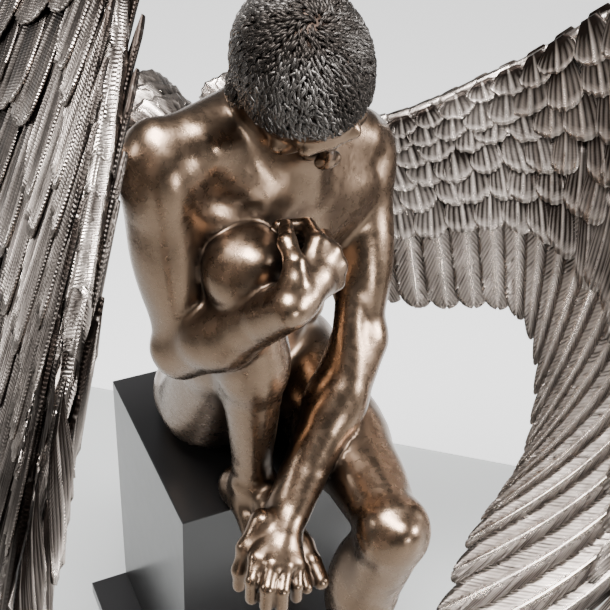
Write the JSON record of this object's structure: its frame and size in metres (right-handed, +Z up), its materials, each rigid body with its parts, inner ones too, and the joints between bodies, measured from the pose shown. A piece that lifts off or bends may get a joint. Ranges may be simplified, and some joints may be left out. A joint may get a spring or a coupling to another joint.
{
  "type": "winged figure statue",
  "caption": "Life-size seated nude winged figure in bronze finish, head bowed over a drawn-up knee, silver wings folded forward, on a satin black box plinth.",
  "frame": {"origin": "centre of the plinth box's plan, on the floor under the base plate", "axes": "+Z up, -Y to the plinth's front where the feet hang, +X to the viewer's right when facing the front"},
  "size_m": [1.2239, 0.9816, 1.4888],
  "materials": {
    "plinth_black": "satin black lacquer with fine lighter lines along the bevelled edges",
    "bronze_skin": "polished warm bronze coat, near-mirror highlights, dark brown in the hollows",
    "hair_dark": "dark patina between cast strands, strands rubbed to a silver-brown",
    "wing_silver": "antique silver-brown metal coat, dark between the barbs, rubbed bright on raised edges"
  },
  "bodies": {
    "root": {"base_plate": "plinth_black", "plinth_box": "plinth_black", "figure": "bronze_skin", "left_wing": "wing_silver", "right_wing": "wing_silver"}
  },
  "joints": []
}
